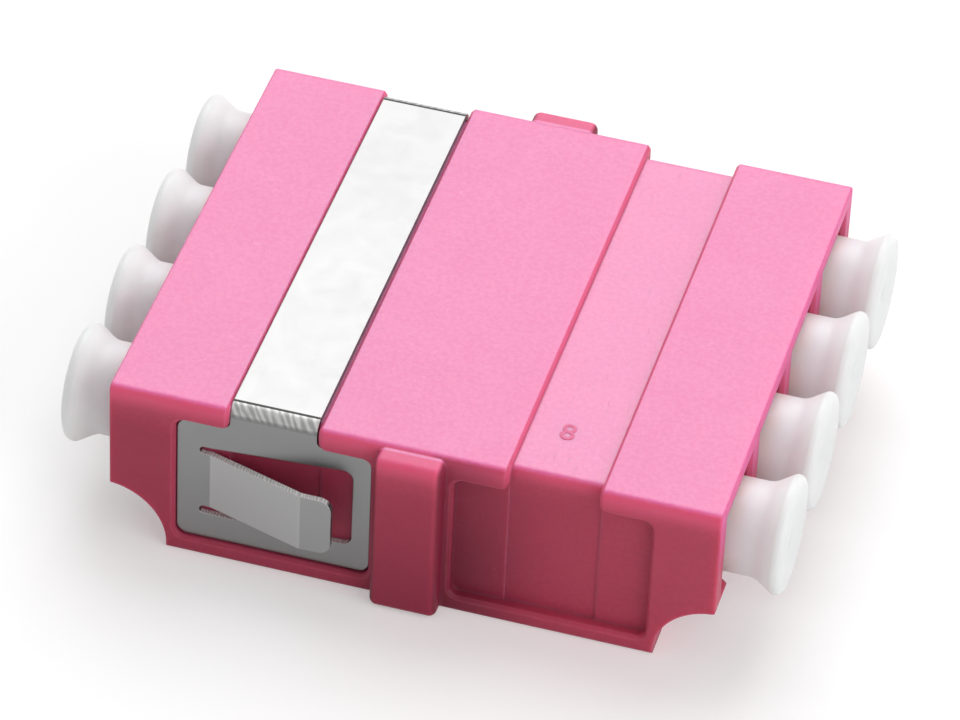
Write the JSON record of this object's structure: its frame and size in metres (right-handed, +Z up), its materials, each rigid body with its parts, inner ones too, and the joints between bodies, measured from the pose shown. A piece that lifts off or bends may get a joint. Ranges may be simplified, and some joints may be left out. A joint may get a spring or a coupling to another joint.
{
  "type": "lc fibre adapter",
  "caption": "Flat through-adapter for LC fibre plugs, side by side: moulded housing, folded spring panel clip, split sleeves in holders, and a dust cap in each port.",
  "frame": {"origin": "centre of the underside, midway between the two ends", "axes": "+X along the fibres away from the clip's half, +Y across the row of ports, +Z up; the latch side of the ports faces -Z"},
  "size_m": [0.0352, 0.0284, 0.0093],
  "materials": {
    "housing_plastic": "satin moulded pink",
    "spring_steel": "plain rolled stainless sheet",
    "cap_plastic": "translucent milky",
    "holder_plastic": "satin",
    "zirconia": "polished ceramic"
  },
  "bodies": {
    "housing": {"adapter_body": "housing_plastic", "panel_clip": "spring_steel", "sleeve_1": "zirconia", "sleeve_holder_left_1": "holder_plastic", "sleeve_holder_right_1": "holder_plastic", "sleeve_2": "zirconia", "sleeve_holder_left_2": "holder_plastic", "sleeve_holder_right_2": "holder_plastic", "sleeve_3": "zirconia", "sleeve_holder_left_3": "holder_plastic", "sleeve_holder_right_3": "holder_plastic", "sleeve_4": "zirconia", "sleeve_holder_left_4": "holder_plastic", "sleeve_holder_right_4": "holder_plastic"},
    "cap_left_1": {"dust_cap_left_1": "cap_plastic"},
    "cap_left_2": {"dust_cap_left_2": "cap_plastic"},
    "cap_left_3": {"dust_cap_left_3": "cap_plastic"},
    "cap_left_4": {"dust_cap_left_4": "cap_plastic"},
    "cap_right_1": {"dust_cap_right_1": "cap_plastic"},
    "cap_right_2": {"dust_cap_right_2": "cap_plastic"},
    "cap_right_3": {"dust_cap_right_3": "cap_plastic"},
    "cap_right_4": {"dust_cap_right_4": "cap_plastic"}
  },
  "joints": [
    {"name": "cap_left_1_slide", "type": "slide", "parent": "housing", "child": "cap_left_1", "axis": [-1, 0, 0], "range_m": [0, 0.022]},
    {"name": "cap_left_2_slide", "type": "slide", "parent": "housing", "child": "cap_left_2", "axis": [-1, 0, 0], "range_m": [0, 0.022]},
    {"name": "cap_left_3_slide", "type": "slide", "parent": "housing", "child": "cap_left_3", "axis": [-1, 0, 0], "range_m": [0, 0.022]},
    {"name": "cap_left_4_slide", "type": "slide", "parent": "housing", "child": "cap_left_4", "axis": [-1, 0, 0], "range_m": [0, 0.022]},
    {"name": "cap_right_1_slide", "type": "slide", "parent": "housing", "child": "cap_right_1", "axis": [1, 0, 0], "range_m": [0, 0.022]},
    {"name": "cap_right_2_slide", "type": "slide", "parent": "housing", "child": "cap_right_2", "axis": [1, 0, 0], "range_m": [0, 0.022]},
    {"name": "cap_right_3_slide", "type": "slide", "parent": "housing", "child": "cap_right_3", "axis": [1, 0, 0], "range_m": [0, 0.022]},
    {"name": "cap_right_4_slide", "type": "slide", "parent": "housing", "child": "cap_right_4", "axis": [1, 0, 0], "range_m": [0, 0.022]}
  ]
}
